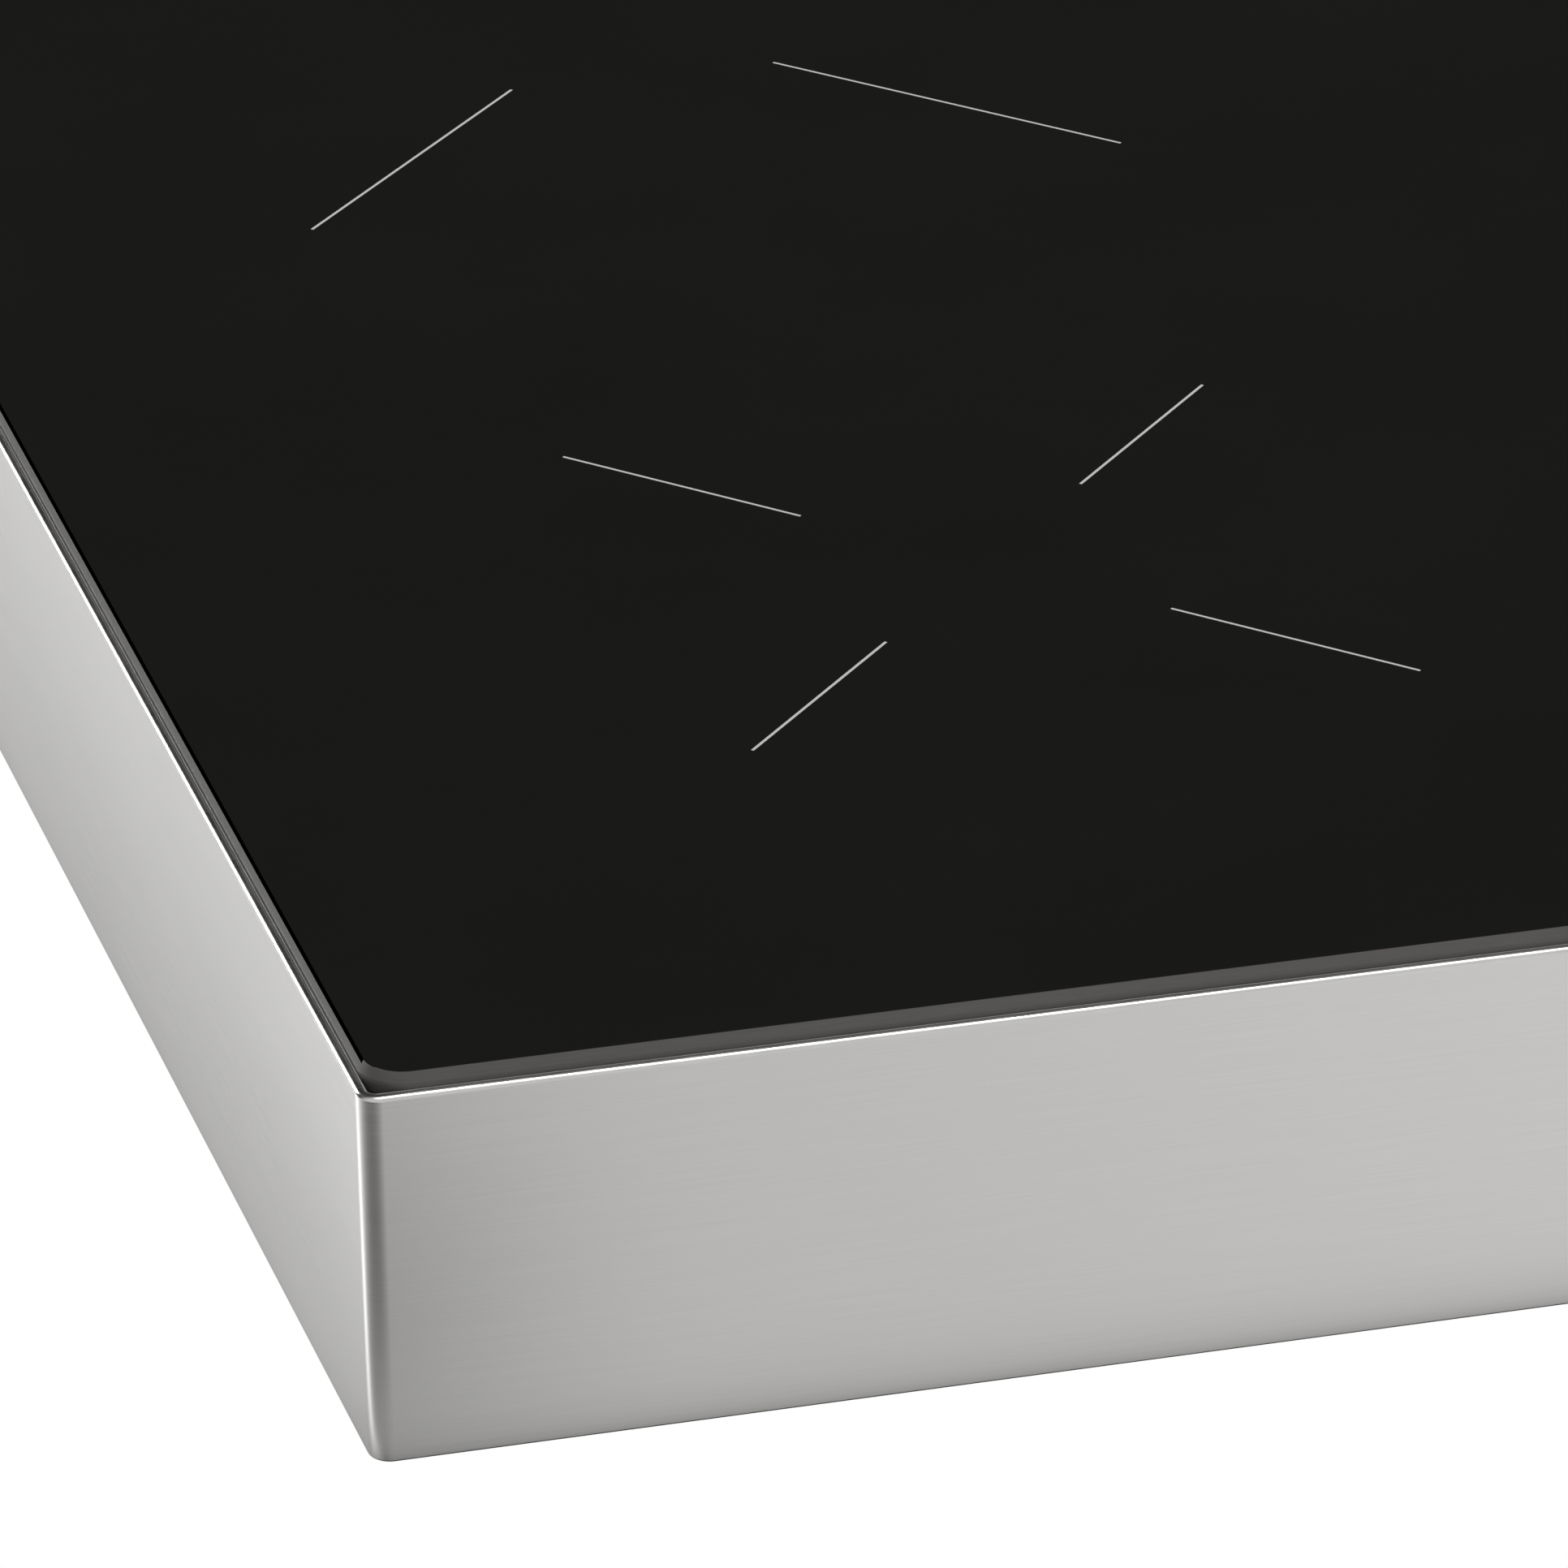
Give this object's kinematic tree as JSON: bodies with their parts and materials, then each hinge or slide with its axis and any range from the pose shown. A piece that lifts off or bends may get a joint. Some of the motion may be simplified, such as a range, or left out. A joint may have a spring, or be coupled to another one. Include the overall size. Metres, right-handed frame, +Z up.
{
  "type": "electric induction cooktop",
  "caption": "Free-standing electric induction cooktop: black glass pane in a brushed steel skirt, with sprung induction coils, cooling fans and power electronics inside.",
  "frame": {"origin": "on the surface the feet stand on, under the middle of the cooktop", "axes": "+X to the right along the front edge, +Y from the front to the back, +Z up"},
  "size_m": [0.6, 0.52, 0.071],
  "materials": {
    "glass_ceramic": "polished",
    "sealant": "matte",
    "stainless": "satin",
    "galvanised": "matte",
    "aluminium": "satin",
    "litz_copper": "satin",
    "ferrite": "matte",
    "mica": "satin",
    "ceramic_fibre": "matte",
    "spring_steel": "satin",
    "circuit_board": "satin",
    "black_plastic": "matte",
    "grey_plastic": "matte",
    "rubber": "matte",
    "ceramic": "satin"
  },
  "bodies": {
    "housing": {"steel_frame": "stainless", "glass_pane": "glass_ceramic", "pane_seal": "sealant", "bottom_tray": "galvanised", "insulation_mat_left": "ceramic_fibre", "support_plate_left": "aluminium", "power_board_left": "circuit_board", "heat_sink_left": "aluminium", "fan_housing_left": "black_plastic", "insulation_mat_right": "ceramic_fibre", "support_plate_right": "aluminium", "power_board_right": "circuit_board", "heat_sink_right": "aluminium", "fan_housing_right": "black_plastic", "coil_spring_front_left_1": "spring_steel", "coil_spring_front_left_2": "spring_steel", "coil_spring_front_left_3": "spring_steel", "coil_spring_rear_left_1": "spring_steel", "coil_spring_rear_left_2": "spring_steel", "coil_spring_rear_left_3": "spring_steel", "coil_spring_front_right_1": "spring_steel", "coil_spring_front_right_2": "spring_steel", "coil_spring_front_right_3": "spring_steel", "coil_spring_rear_right_1": "spring_steel", "coil_spring_rear_right_2": "spring_steel", "coil_spring_rear_right_3": "spring_steel", "filter_board": "circuit_board", "cable_grommet": "rubber", "cable_clamp": "grey_plastic", "terminal_block": "ceramic", "touch_board": "circuit_board", "touch_bracket": "grey_plastic", "foot_front_left": "rubber", "foot_rear_left": "rubber", "foot_front_right": "rubber", "foot_rear_right": "rubber"},
    "coil_front_left": {"coil_carrier_front_left": "grey_plastic", "coil_winding_front_left": "litz_copper", "ferrite_star_front_left": "ferrite", "mica_disc_front_left": "mica", "glass_sensor_front_left": "ceramic"},
    "coil_rear_left": {"coil_carrier_rear_left": "grey_plastic", "coil_winding_rear_left": "litz_copper", "ferrite_star_rear_left": "ferrite", "mica_disc_rear_left": "mica", "glass_sensor_rear_left": "ceramic"},
    "coil_front_right": {"coil_carrier_front_right": "grey_plastic", "coil_winding_front_right": "litz_copper", "ferrite_star_front_right": "ferrite", "mica_disc_front_right": "mica", "glass_sensor_front_right": "ceramic"},
    "coil_rear_right": {"coil_carrier_rear_right": "grey_plastic", "coil_winding_rear_right": "litz_copper", "ferrite_star_rear_right": "ferrite", "mica_disc_rear_right": "mica", "glass_sensor_rear_right": "ceramic"},
    "fan_left": {"fan_wheel_left": "black_plastic"},
    "fan_right": {"fan_wheel_right": "black_plastic"}
  },
  "joints": [
    {"name": "coil_front_left_press", "type": "slide", "parent": "housing", "child": "coil_front_left", "axis": [0, 0, 1], "range_m": [-0.003, 0], "stiffness_N_per_m": 4000, "springref_m": 0.006, "deforming": ["coil_spring_front_left_1", "coil_spring_front_left_2", "coil_spring_front_left_3"]},
    {"name": "coil_rear_left_press", "type": "slide", "parent": "housing", "child": "coil_rear_left", "axis": [0, 0, 1], "range_m": [-0.003, 0], "stiffness_N_per_m": 4000, "springref_m": 0.006, "deforming": ["coil_spring_rear_left_1", "coil_spring_rear_left_2", "coil_spring_rear_left_3"]},
    {"name": "coil_front_right_press", "type": "slide", "parent": "housing", "child": "coil_front_right", "axis": [0, 0, 1], "range_m": [-0.003, 0], "stiffness_N_per_m": 4000, "springref_m": 0.006, "deforming": ["coil_spring_front_right_1", "coil_spring_front_right_2", "coil_spring_front_right_3"]},
    {"name": "coil_rear_right_press", "type": "slide", "parent": "housing", "child": "coil_rear_right", "axis": [0, 0, 1], "range_m": [-0.003, 0], "stiffness_N_per_m": 4000, "springref_m": 0.006, "deforming": ["coil_spring_rear_right_1", "coil_spring_rear_right_2", "coil_spring_rear_right_3"]},
    {"name": "fan_left_spin", "type": "hinge", "parent": "housing", "child": "fan_left", "pos_m": [-0.186, -0.15, 0.02], "axis": [0, 0, 1], "continuous": true},
    {"name": "fan_right_spin", "type": "hinge", "parent": "housing", "child": "fan_right", "pos_m": [0.122, -0.15, 0.02], "axis": [0, 0, 1], "continuous": true}
  ]
}
